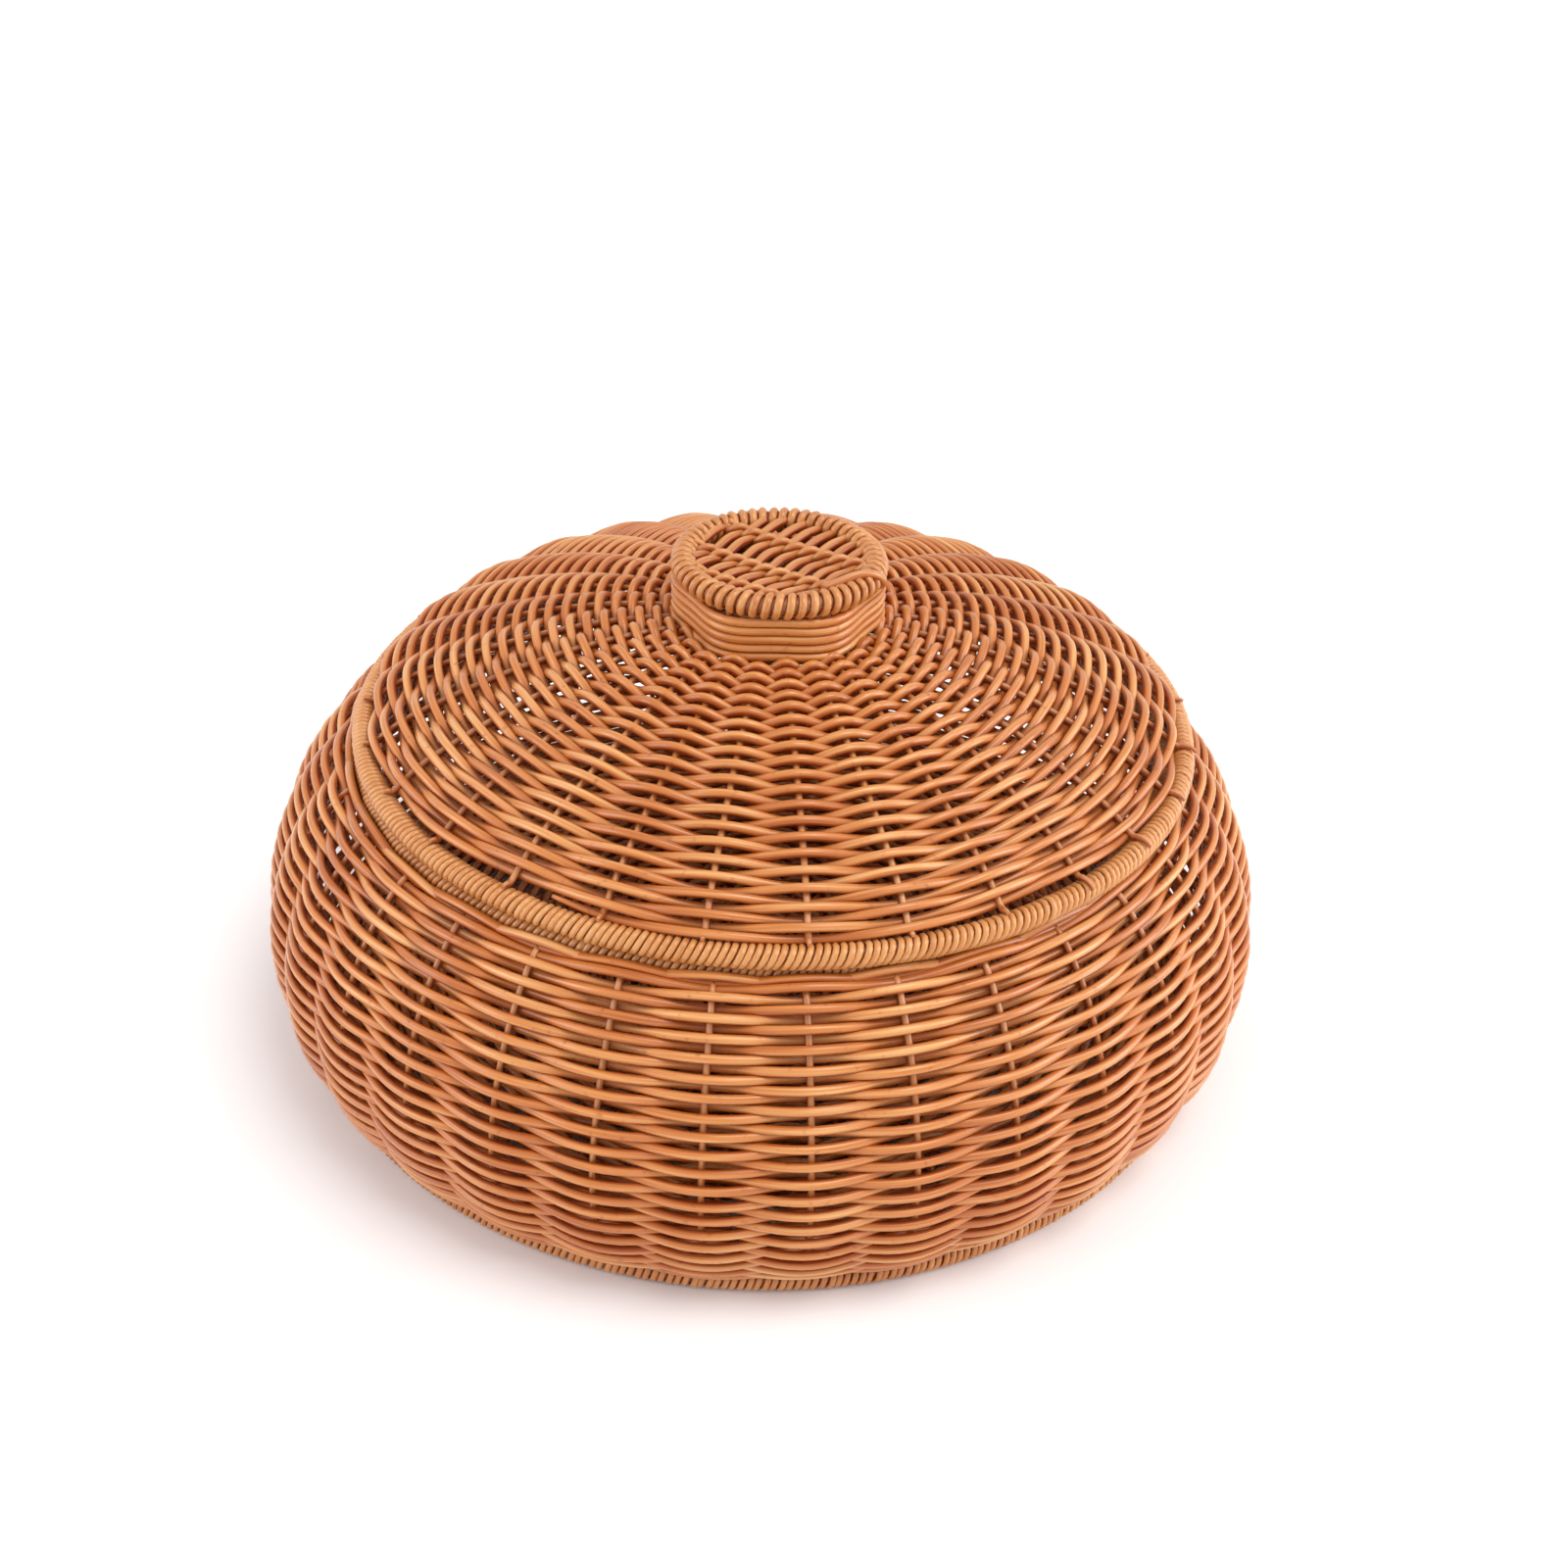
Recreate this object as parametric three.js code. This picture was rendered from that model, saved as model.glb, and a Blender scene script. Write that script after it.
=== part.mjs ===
// Round lidded basket of rattan cane: a low barrel-shaped body on a wrapped foot ring, and a domed
// lid with a wrapped edge ring and a small round knob. The lid is a loose cap that lifts off.
// Units are millimetres, +Z is up, the front is -Y, and the origin is under the middle of the foot.
import * as THREE from "three";

// Body sizes.
const widestRadius = 160;
const widestHeight = 44.4;
const footEdgeRadius = 149.6; // outer edge of the wall where it starts above the foot ring
const footEdgeHeight = 7;
const mouthRadius = 128.6; // where the shoulder would end if it ran on to level
const mouthHeight = 100.6;
const lowerFullness = 2.9;
const upperFullness = 1.21;
const shoulderTurn = 87.8; // degrees of the shoulder's quarter turn before the rim stops it
const weaveThickness = 3.2;
const weaveDip = 1.6; // the outside lies this much deeper between two upright canes than over them

// Canes.
const caneRadius = 1.2;
const caneSides = 5;
const lanePitch = 2.75; // canes that lie side by side where they cross
const settleShare = 0.16; // share of the flat run in which a cane comes down from the crossing
const clearance = 0.3; // between touching pieces
const bodyCanes = 16; // each makes two stakes of the wall
const lidCanes = 14; // each makes two ribs of the lid

// Wrapped rings: a heavier hoop with thin cane wound round it.
const hoopRadius = 2.2;
const ringWrapRadius = 3.4; // foot and rim
const lidWrapRadius = 3.6;
const knobWrapRadius = 4.1;
const knobHoopRadius = 2.7;
const footInset = 5.1; // foot ring in from the edge of the wall
const rimDrop = 1.2; // rim ring down from the mouth
const lidOverhang = 2.7; // lid ring out from the rim ring it lies on
const knobRingRadius = 28.8;
const knobRingRise = 52.1; // knob ring over the lid ring

// Lid.
const lidShift = 3; // the lid lies this far off centre, to the right
const lidTurn = 5.2; // degrees, how far the lid is turned on the body
const domeEdgeRise = 7.5; // outside of the dome over the lid ring, at the edge
const domeTopRise = 36.2; // outside of the dome over the lid ring, at the neck
const domeOverhang = 0.6; // edge of the dome out from the lid ring
const domeFullness = 1.8;
const domeOpenRadius = 24; // the lid's weave ends here, under the knob
const domeWeaveInset = 1.2; // and here, in from the lid ring
const ribEndTurn = 129; // degrees round the lid ring's section, where the ribs meet it
const neckRadius = 31.2; // at the corners of the neck, which bends round six posts
const neckTurns = 4;
const neckValley = 0.35; // share of the cane's radius left between two turns
const postCount = 6;
const postRadius = 1.3;

// Base and knob disc.
const baseWeaveThickness = 2.5;
const baseOpenRadius = 13;
const footTurnRun = 4; // the base canes start to rise this far before the wall
const discThickness = 2.4;
const crossCaneCount = 3;
const crossCanePitch = 14;
const crossCaneRadius = 1.1;
const crossCaneTurn = -40; // degrees from the lid's own X direction

// How finely round shapes are divided.
const lowerRows = 4;
const lowerSpread = 0.8; // below 1 the rows are closer together at the foot
const upperRows = 6;
const domeRows = 6;
const ringColumns = 36;
const knobColumns = 20;

const degree = Math.PI / 180;
const caneSpace = caneRadius + clearance;

// Materials: glossy honey-coloured rattan, the thin wrapping cane a little paler.
function rattan(color, roughness) {
  return new THREE.MeshStandardMaterial({ color, roughness, metalness: 0 });
}
const weaverFinish = rattan(0xd08a4c, 0.42);
const caneFinish = rattan(0xc98048, 0.45);
const wrapFinish = rattan(0xdc9e60, 0.4);
const hoopFinish = rattan(0xb87840, 0.55);

function named(name, geometry, material) {
  const mesh = new THREE.Mesh(geometry, material);
  mesh.name = name;
  return mesh;
}

// A closed outline of [radius, height] points turned about the Z axis.
function turned(outline, columns) {
  const points = [...outline, outline[0]].map(([r, z]) => new THREE.Vector2(r, z));
  return new THREE.LatheGeometry(points, columns).rotateX(Math.PI / 2);
}

// A route of straight lengths through chosen points, with a section at each point.
class Route extends THREE.Curve {
  constructor(points) {
    super();
    this.points = points;
  }
  getPoint(t, target = new THREE.Vector3()) {
    const last = this.points.length - 1;
    const place = Math.min(Math.max(t, 0), 1) * last;
    const i = Math.min(Math.floor(place), last - 1);
    return target.lerpVectors(this.points[i], this.points[i + 1], place - i);
  }
  getPointAt(u, target) {
    return this.getPoint(u, target);
  }
  getTangentAt(u, target) {
    return this.getTangent(u, target);
  }
}

function roundShape(radius, sides) {
  const corners = [];
  for (let i = 0; i < sides; i++) {
    const a = (i * 2 * Math.PI) / sides;
    corners.push(new THREE.Vector2(radius * Math.cos(a), radius * Math.sin(a)));
  }
  return new THREE.Shape(corners);
}

function caneAlong(points, radius = caneRadius) {
  return new THREE.ExtrudeGeometry(roundShape(radius, caneSides), {
    extrudePath: new Route(points),
    steps: points.length - 1,
    bevelEnabled: false,
  });
}

// Moves the points of a line sideways by a distance, to the left of its direction.
function offsetLine(line, distance) {
  return line.map(([r, z], i) => {
    const before = line[Math.max(i - 1, 0)];
    const after = line[Math.min(i + 1, line.length - 1)];
    const along = new THREE.Vector2(after[0] - before[0], after[1] - before[1]).normalize();
    return [r - along.y * distance, z + along.x * distance];
  });
}

// Outer line of the wall from the foot up: out to the widest line, then drawn in to the mouth.
const wallLine = [];
for (let i = 0; i < lowerRows; i++) {
  const drop = (1 - i / lowerRows) ** lowerSpread;
  wallLine.push([
    widestRadius - (widestRadius - footEdgeRadius) * drop ** lowerFullness,
    widestHeight - (widestHeight - footEdgeHeight) * drop,
  ]);
}
for (let i = 0; i <= upperRows; i++) {
  const a = (shoulderTurn * degree * i) / upperRows;
  wallLine.push([
    mouthRadius + (widestRadius - mouthRadius) * Math.cos(a) ** upperFullness,
    widestHeight + (mouthHeight - widestHeight) * Math.sin(a) ** upperFullness,
  ]);
}
const wallInner = offsetLine(wallLine, weaveThickness);
const wallMouth = wallInner[wallInner.length - 1];
const stakeLine = offsetLine(wallLine, weaveThickness + caneSpace);

// Foot, base and the crossing of the base canes.
const wrapFlat = Math.cos(Math.PI / 8); // flat sides of an eight-sided wrap lie this share from its middle
const footRingHeight = ringWrapRadius * wrapFlat;
const footRingRadius = footEdgeRadius - footInset;
const baseTop = 2 * footRingHeight;
const baseBottom = baseTop - baseWeaveThickness;
const baseCaneHeight = baseTop + caneSpace;
const baseEdgeRadius = (footRingRadius - ringWrapRadius) * Math.cos(Math.PI / ringColumns) - clearance;
const crossingHalf = (lane) => (lane + 1) * lanePitch;

// A wrapped ring's winding in section: eight sides, open on one side, round the hoop inside it.
function windingOutline(radius, height, outer, hoop, openSide) {
  const inner = (hoop + clearance) / wrapFlat;
  const corner = (size, i) => {
    const a = openSide * degree + (i + 0.5) * 45 * degree;
    return [radius + size * Math.cos(a), height + size * Math.sin(a)];
  };
  const outline = [];
  for (let i = 0; i < 8; i++) outline.push(corner(outer, i));
  for (let i = 7; i >= 0; i--) outline.push(corner(inner, i));
  return outline;
}

function hoopOutline(radius, height, size) {
  const outline = [];
  for (let i = 0; i < caneSides; i++) {
    const a = (i * 2 * Math.PI) / caneSides + Math.PI / 2;
    outline.push([radius + size * Math.cos(a), height + size * Math.sin(a)]);
  }
  return outline;
}

function wrappedRing(group, name, radius, height, outer, hoop, openSide, columns) {
  const winding = windingOutline(radius, height, outer, hoop, openSide);
  group.add(named(name + "_hoop", turned(hoopOutline(radius, height, hoop), columns), hoopFinish));
  group.add(named(name + "_wrapping", turned(winding, columns), wrapFinish));
}

// A woven shell in columns at its upright canes and midway between them, the first column at the front. The
// outside line and the rest make a closed outline. Midway the outside dips in, apart from its two ends.
function wovenShell(outside, rest, columns, caneAtFront) {
  const dipped = offsetLine(outside, weaveDip);
  const middle = [outside[0], ...dipped.slice(1, -1), outside[outside.length - 1]];
  const shell = turned([...outside, ...rest], columns);
  const drawnIn = turned([...middle, ...rest], columns);
  const points = shell.attributes.position;
  const perColumn = points.count / (columns + 1);
  for (let i = 0; i < points.count; i++) {
    const onCane = Math.floor(i / perColumn) % 2 === (caneAtFront ? 0 : 1);
    if (!onCane) points.copyAt(i, drawnIn.attributes.position, i);
  }
  return shell;
}

const basket = new THREE.Group();
const lid = new THREE.Group();

// Body weave: the wall, and the base inside the foot.
const wallShell = wovenShell(wallLine, wallInner.slice().reverse(), 4 * bodyCanes, false);
basket.add(named("wall_weave", wallShell, weaverFinish));
const baseOutline = [
  [baseOpenRadius, baseBottom],
  [baseEdgeRadius, baseBottom],
  [baseEdgeRadius, baseTop],
  [baseOpenRadius, baseTop],
];
basket.add(named("base_weave", turned(baseOutline, ringColumns), weaverFinish));

// Half of a cane from the middle of the crossing to its end: out along its lane, fanned out to its own
// direction, then along the line of [radius, height] points in that direction.
function halfCane(lane, direction, crossHeight, flatHeight, reach, line) {
  const side = lane * lanePitch;
  const edge = crossingHalf(reach);
  const start = new THREE.Vector3(edge, side, crossHeight);
  const [r, z] = line[0];
  const turn = new THREE.Vector3(r * Math.cos(direction), r * Math.sin(direction), z);
  const settle = start.clone().lerp(turn, settleShare).setZ(flatHeight);
  const points = [start, settle];
  for (const [radius, height] of line) {
    points.push(new THREE.Vector3(radius * Math.cos(direction), radius * Math.sin(direction), height));
  }
  return points;
}

// A whole cane: both halves are mirror images across the crossing.
function crossingCane(lane, direction, crossHeight, flatHeight, reach, line) {
  const half = halfCane(lane, direction, crossHeight, flatHeight, reach, line);
  const mirrored = half.map((p) => new THREE.Vector3(-p.x, p.y, p.z)).reverse();
  return caneAlong([...mirrored, ...half]);
}

// Two bundles of canes cross at right angles, one over the other, and fan out evenly.
function addCrossing(group, prefix, count, crossHeights, flatHeight, line) {
  const perBundle = count / 2;
  const step = 180 / count;
  const reach = (perBundle - 1) / 2;
  let number = 1;
  for (const [bundle, crossHeight] of crossHeights.entries()) {
    for (let i = 0; i < perBundle; i++) {
      const lane = i - reach;
      const direction = lane * step * degree;
      const cane = crossingCane(lane, direction, crossHeight, flatHeight, reach, line);
      cane.rotateZ(bundle * 90 * degree);
      group.add(named(prefix + String(number).padStart(2, "0"), cane, caneFinish));
      number += 1;
    }
  }
}

// Base canes: flat on the base, turned up at the foot, and up inside the wall as its stakes.
const footTurn = [stakeLine[0][0] - footTurnRun, baseCaneHeight];
const bodyCaneLine = [footTurn, ...stakeLine];
const stackedCane = 2 * caneRadius + clearance;
addCrossing(
  basket,
  "base_cane_",
  bodyCanes,
  [baseCaneHeight + stackedCane, baseCaneHeight],
  baseCaneHeight,
  bodyCaneLine,
);

// Foot ring under the base, and rim ring inside the mouth.
const rimRingRadius = wallMouth[0] - ringWrapRadius * wrapFlat - clearance;
const rimRingHeight = mouthHeight - rimDrop;
wrappedRing(basket, "foot", footRingRadius, footRingHeight, ringWrapRadius, hoopRadius, 90, ringColumns);
wrappedRing(basket, "rim", rimRingRadius, rimRingHeight, ringWrapRadius, hoopRadius, 180, ringColumns);

// Lid, in its own frame: z = 0 is the middle of the lid ring.
const lidRingRadius = rimRingRadius + lidOverhang;
wrappedRing(lid, "lid", lidRingRadius, 0, lidWrapRadius, hoopRadius, 180, ringColumns);

// Outside of the dome from its edge to the neck, then level to the opening under the knob.
const domeEdgeRadius = lidRingRadius + domeOverhang;
const domeWeaveRadius = lidRingRadius - domeWeaveInset;
const domeLine = [];
for (let i = domeRows; i >= 0; i--) {
  const r = neckRadius + ((domeWeaveRadius - neckRadius) * i) / domeRows;
  const q = (r - neckRadius) / (domeEdgeRadius - neckRadius);
  domeLine.push([r, domeTopRise - (domeTopRise - domeEdgeRise) * q ** domeFullness]);
}
const domeOpening = [domeOpenRadius, domeTopRise];
const domeWhole = [...domeLine, domeOpening];
const domeInner = offsetLine(domeWhole, weaveThickness).reverse();
const domeShell = wovenShell(domeLine, [domeOpening, ...domeInner], 4 * lidCanes, true);
lid.add(named("lid_weave", domeShell, weaverFinish));

// Lid canes: across the top of the dome, and down inside it as ribs to the ring.
const ribLine = offsetLine(domeWhole, weaveThickness + caneSpace).slice(0, -1).reverse();
const ribReach = lidWrapRadius + clearance;
const ribEnd = [
  lidRingRadius + ribReach * Math.cos(ribEndTurn * degree),
  ribReach * Math.sin(ribEndTurn * degree),
];
const ribTop = ribLine[0][1];
addCrossing(lid, "lid_cane_", lidCanes, [ribTop + stackedCane, ribTop], ribTop, [...ribLine, ribEnd]);

// Knob ring, and the neck between it and the dome: one cane wound four times round the posts.
const knobHeight = knobRingRise;
wrappedRing(lid, "knob", knobRingRadius, knobHeight, knobWrapRadius, knobHoopRadius, 180, knobColumns);
const neckBottom = domeTopRise + clearance;
const neckTop = knobHeight - knobWrapRadius - clearance;
const neckPitch = (neckTop - neckBottom) / neckTurns;
const neckCaneRadius = neckPitch / 2;
const neckOuter = [[neckRadius, neckBottom]];
for (let i = 0; i < neckTurns; i++) {
  const z = neckBottom + (i + 0.5) * neckPitch;
  neckOuter.push([neckRadius + neckCaneRadius, z]);
  neckOuter.push([neckRadius + neckCaneRadius * neckValley, z + neckPitch / 2]);
}
neckOuter[neckOuter.length - 1] = [neckRadius, neckTop];
const neckInner = neckOuter.slice(1, -1).map(([r, z]) => [2 * neckRadius - r, z]);
const neckOutline = [...neckOuter, ...neckInner.reverse()];
const neckTurn = -lidTurn * degree; // two corners face the sides of the basket
const neck = turned(neckOutline, postCount).rotateZ(neckTurn + Math.PI / postCount);
lid.add(named("neck_band", neck, caneFinish));

// Posts in the corners of the neck stand on the dome and carry the knob ring.
const cornerSlope = Math.cos(Math.PI / postCount);
const postCircle = neckRadius - neckCaneRadius - (postRadius + clearance) / cornerSlope;
const postTop = knobHeight - Math.sqrt(knobWrapRadius ** 2 - (knobRingRadius - postCircle) ** 2) - clearance;
for (let i = 0; i < postCount; i++) {
  const a = (i * 2 * Math.PI) / postCount + neckTurn;
  const post = new THREE.CylinderGeometry(postRadius, postRadius, postTop - neckBottom, 6);
  post.rotateX(Math.PI / 2);
  post.translate(postCircle * Math.cos(a), postCircle * Math.sin(a), (postTop + neckBottom) / 2);
  lid.add(named("knob_post_" + (i + 1), post, caneFinish));
}

// Woven disc inside the knob ring, lying on a few cross canes.
const discRadius = knobRingRadius - knobWrapRadius - clearance;
const discBottom = knobHeight - discThickness / 2;
const disc = new THREE.CylinderGeometry(discRadius, discRadius, discThickness, knobColumns);
disc.rotateX(Math.PI / 2).translate(0, 0, knobHeight);
lid.add(named("knob_disc_weave", disc, weaverFinish));
for (let i = 0; i < crossCaneCount; i++) {
  const side = (i - (crossCaneCount - 1) / 2) * crossCanePitch;
  const z = discBottom - clearance - crossCaneRadius;
  const reach = knobRingRadius - Math.sqrt(knobWrapRadius ** 2 - (knobHeight - z) ** 2) - 2 * clearance;
  const half = Math.sqrt(reach ** 2 - side ** 2) - crossCaneRadius / 2;
  const ends = [new THREE.Vector3(-half, side, z), new THREE.Vector3(half, side, z)];
  const cane = caneAlong(ends, crossCaneRadius).rotateZ(crossCaneTurn * degree);
  lid.add(named("knob_cross_cane_" + (i + 1), cane, caneFinish));
}

// The lid rests with its ring on the rim ring, a little off centre, and leans to the side it has slid to.
const seatRise = Math.sqrt((ringWrapRadius + lidWrapRadius + clearance) ** 2 - lidOverhang ** 2);
const lidLean = (lidOverhang * lidShift) / seatRise / lidRingRadius;
lid.position.set(lidShift, 0, rimRingHeight + seatRise);
lid.rotation.set(0, lidLean, lidTurn * degree, "YXZ");

const group = new THREE.Group();
group.add(basket, lid);
export default group;
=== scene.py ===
import math

import bpy
import numpy as np
from mathutils import Matrix, Vector


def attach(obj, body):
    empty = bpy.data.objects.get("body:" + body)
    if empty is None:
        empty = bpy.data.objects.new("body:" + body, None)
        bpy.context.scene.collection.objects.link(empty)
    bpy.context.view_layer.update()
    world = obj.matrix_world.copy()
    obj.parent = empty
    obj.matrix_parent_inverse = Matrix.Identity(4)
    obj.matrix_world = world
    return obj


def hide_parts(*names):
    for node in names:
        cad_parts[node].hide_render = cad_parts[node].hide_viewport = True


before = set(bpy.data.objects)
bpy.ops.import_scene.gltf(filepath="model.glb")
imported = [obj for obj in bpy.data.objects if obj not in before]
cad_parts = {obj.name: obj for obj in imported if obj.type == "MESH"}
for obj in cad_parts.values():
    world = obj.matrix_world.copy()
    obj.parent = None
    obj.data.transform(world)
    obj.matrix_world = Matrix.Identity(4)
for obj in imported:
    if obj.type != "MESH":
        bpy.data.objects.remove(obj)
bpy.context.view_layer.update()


# Floor, light and camera.
# A pale paper sweep under the basket in a bright even room, broad soft light from high in front and from the
# right, and a soft lamp low on each side. The camera stands in front and looks down at the lid.
mm = 0.001
scene = bpy.context.scene
scene.view_settings.view_transform = "Standard"

floor_half = 6
floor_corners = [(-floor_half, -floor_half, 0), (floor_half, -floor_half, 0),
                 (floor_half, floor_half, 0), (-floor_half, floor_half, 0)]
floor_mesh = bpy.data.meshes.new("floor")
floor_mesh.from_pydata(floor_corners, [], [(0, 1, 2, 3)])
floor = bpy.data.objects.new("floor", floor_mesh)
scene.collection.objects.link(floor)
paper = bpy.data.materials.new("pale_paper")
paper.use_nodes = True
paper_shader = paper.node_tree.nodes["Principled BSDF"]
paper_shader.inputs["Base Color"].default_value = (0.92, 0.912, 0.922, 1)
paper_shader.inputs["Roughness"].default_value = 0.8
paper_shader.inputs["Specular IOR Level"].default_value = 0.2
floor_mesh.materials.append(paper)

world = bpy.data.worlds.new("room")
scene.world = world
world.use_nodes = True
world.node_tree.nodes["Background"].inputs["Color"].default_value = (1.0, 0.99, 0.985, 1)
world.node_tree.nodes["Background"].inputs["Strength"].default_value = 0.82


def soft_light(name, place, target, size, power, color):
    """A square area light at a place, turned to face a target."""
    data = bpy.data.lights.new(name, "AREA")
    data.size = size
    data.energy = power
    data.color = color
    lamp = bpy.data.objects.new(name, data)
    scene.collection.objects.link(lamp)
    lamp.location = place
    lamp.rotation_euler = (Vector(target) - Vector(place)).to_track_quat("-Z", "Y").to_euler()


basket_middle = (0, 0, 60 * mm)
soft_light("left_fill", (-1.3, -0.35, 0.6), basket_middle, size=0.9, power=7, color=(0.97, 0.98, 1.02))
soft_light("right_fill", (1.25, -0.1, 0.5), basket_middle, size=0.8, power=8.5, color=(0.94, 1.0, 1.03))
high_data = bpy.data.lights.new("high_light", "SUN")
high_data.energy = 1.15
high_data.angle = math.radians(30)
high_data.color = (1.0, 0.97, 0.93)
high_light = bpy.data.objects.new("high_light", high_data)
scene.collection.objects.link(high_light)
high_way = Vector((-0.36, 0.2, -1.0))
high_light.rotation_euler = high_way.to_track_quat("-Z", "Y").to_euler()

aim = Vector((0, 0, 42.5 * mm))
distance = 684 * mm
elevation = math.radians(35.13)
tilt = 0.021
back = Vector((0, -math.cos(elevation), math.sin(elevation)))
level = Vector((1, 0, 0))
upright = level.cross(-back)
right = level * math.cos(tilt) + upright * math.sin(tilt)
up = upright * math.cos(tilt) - level * math.sin(tilt)
camera_data = bpy.data.cameras.new("camera")
camera_data.lens = 47.25
camera_data.sensor_width = 36
camera_data.shift_x = 0.0146
camera_data.shift_y = 0.0592
camera_data.clip_start = 0.05
camera = bpy.data.objects.new("camera", camera_data)
scene.collection.objects.link(camera)
place = aim + back * distance
camera.matrix_world = Matrix((
    (right.x, up.x, back.x, place.x),
    (right.y, up.y, back.y, place.y),
    (right.z, up.z, back.z, place.z),
    (0, 0, 0, 1),
))
scene.camera = camera


# Base canes.
# Sixteen straight round canes crossed in two bundles at the middle of the base, fanned out, and bent up at
# the foot, so that each makes two opposite stakes of the wall.
stake_radius = 1.0 * mm
stake_count = 32
stake_inset = 3.6 * mm  # from the outside of the wall to the middle of a stake
stake_inset_at_mouth = 2.2 * mm
inset_ease = 16 * mm
base_level = 7.8 * mm


def grain_group():
    """Node group of polished rattan: each cane has its own tone, long streaks run along it, paler and darker
    patches and small dark flecks lie over them. Painted shade darkens the colour in the crevices of the weave
    and on the canes' inner sides, and the varnish is thinner there. It gives a colour, a roughness, a height
    and a sheen."""
    group = bpy.data.node_groups.new("rattan_grain", "ShaderNodeTree")
    face = group.interface
    for name, kind, value in (
        ("Pale", "NodeSocketColor", (0.9, 0.55, 0.25, 1)),
        ("Middle", "NodeSocketColor", (0.75, 0.35, 0.12, 1)),
        ("Deep", "NodeSocketColor", (0.45, 0.16, 0.04, 1)),
        ("Streaks", "NodeSocketFloat", 0.5),
        ("Gloss", "NodeSocketFloat", 0.35),
    ):
        socket = face.new_socket(name=name, in_out="INPUT", socket_type=kind)
        socket.default_value = value
    face.new_socket(name="Color", in_out="OUTPUT", socket_type="NodeSocketColor")
    face.new_socket(name="Roughness", in_out="OUTPUT", socket_type="NodeSocketFloat")
    face.new_socket(name="Height", in_out="OUTPUT", socket_type="NodeSocketFloat")
    face.new_socket(name="Sheen", in_out="OUTPUT", socket_type="NodeSocketFloat")
    nodes, links = group.nodes, group.links
    enter = nodes.new("NodeGroupInput")
    leave = nodes.new("NodeGroupOutput")

    def noise(vector, scale, detail):
        """Cloudy noise of one scale and detail over a vector."""
        made = nodes.new("ShaderNodeTexNoise")
        made.inputs["Scale"].default_value = scale
        made.inputs["Detail"].default_value = detail
        links.new(vector, made.inputs["Vector"])
        return made.outputs["Fac"]

    def math_node(operation, a, b, clamp=False):
        """Sum or product of two values, each a socket or a number."""
        made = nodes.new("ShaderNodeMath")
        made.operation = operation
        made.use_clamp = clamp
        for socket, value in zip(made.inputs, (a, b)):
            if isinstance(value, (int, float)):
                socket.default_value = value
            else:
                links.new(value, socket)
        return made.outputs[0]

    def remap(value, given, wanted):
        """A value carried in a straight line from the given range to the wanted one, and held inside it."""
        made = nodes.new("ShaderNodeMapRange")
        made.inputs["From Min"].default_value = given[0]
        made.inputs["From Max"].default_value = given[1]
        made.inputs["To Min"].default_value = wanted[0]
        made.inputs["To Max"].default_value = wanted[1]
        links.new(value, made.inputs["Value"])
        return made.outputs["Result"]

    def blend(amount, a, b):
        """Colour a where the amount is 0, colour b where it is 1."""
        made = nodes.new("ShaderNodeMix")
        made.data_type = "RGBA"
        links.new(amount, made.inputs["Factor"])
        links.new(a, made.inputs["A"])
        links.new(b, made.inputs["B"])
        return made.outputs["Result"]

    def darken(amount, color, tint):
        """A colour multiplied by a tint, by an amount."""
        made = nodes.new("ShaderNodeMix")
        made.data_type = "RGBA"
        made.blend_type = "MULTIPLY"
        links.new(amount, made.inputs["Factor"])
        links.new(color, made.inputs["A"])
        made.inputs["B"].default_value = (*tint, 1)
        return made.outputs["Result"]

    tone = nodes.new("ShaderNodeAttribute")
    tone.attribute_name = "tone"
    along = nodes.new("ShaderNodeUVMap")
    along.uv_map = "cane"
    stretch = nodes.new("ShaderNodeMapping")
    stretch.inputs["Scale"].default_value = (0.6, 7.0, 1.0)
    links.new(along.outputs["UV"], stretch.inputs["Vector"])
    where = nodes.new("ShaderNodeTexCoord")

    fleck_tint = (0.55, 0.36, 0.22)
    painted_shade_tint = (0.55, 0.17, 0.025)
    noise_span = (0.3, 0.7)
    streak = noise(stretch.outputs["Vector"], scale=1.0, detail=4.0)
    fine = noise(stretch.outputs["Vector"], scale=5.0, detail=2.0)
    patch = noise(where.outputs["Object"], scale=22.0, detail=2.0)
    fleck = noise(where.outputs["Object"], scale=420.0, detail=1.0)
    own_tone = remap(tone.outputs["Fac"], (0, 1), (-0.2, 0.2))
    light = math_node("ADD", own_tone, remap(patch, noise_span, (0.38, 0.62)))
    streaks = math_node("MULTIPLY", remap(streak, noise_span, (-0.5, 0.5)), enter.outputs["Streaks"])
    light = math_node("ADD", light, streaks, clamp=True)
    color = blend(remap(light, (0.5, 1.0), (0, 1)), enter.outputs["Middle"], enter.outputs["Pale"])
    color = blend(remap(light, (0.5, 0.0), (0, 1)), color, enter.outputs["Deep"])
    color = darken(remap(fleck, (0.66, 0.8), (0, 0.55)), color, fleck_tint)
    # Painted shade: by the shade amount that each point carries, the colour is multiplied by a dark red-brown
    # tint, and the coat is made thinner.
    painted_shade = nodes.new("ShaderNodeAttribute")
    painted_shade.attribute_name = "painted_shade_layer"
    color = darken(remap(painted_shade.outputs["Fac"], (0.15, 0.95), (0, 1)), color, painted_shade_tint)
    links.new(color, leave.inputs["Color"])
    links.new(remap(painted_shade.outputs["Fac"], (0.1, 0.8), (0.6, 0.05)), leave.inputs["Sheen"])
    rough = math_node("ADD", enter.outputs["Gloss"], remap(fine, noise_span, (-0.07, 0.1)))
    links.new(rough, leave.inputs["Roughness"])
    links.new(math_node("ADD", streak, math_node("MULTIPLY", fine, 0.35)), leave.inputs["Height"])
    return group


rattan_grain = grain_group()


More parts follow.
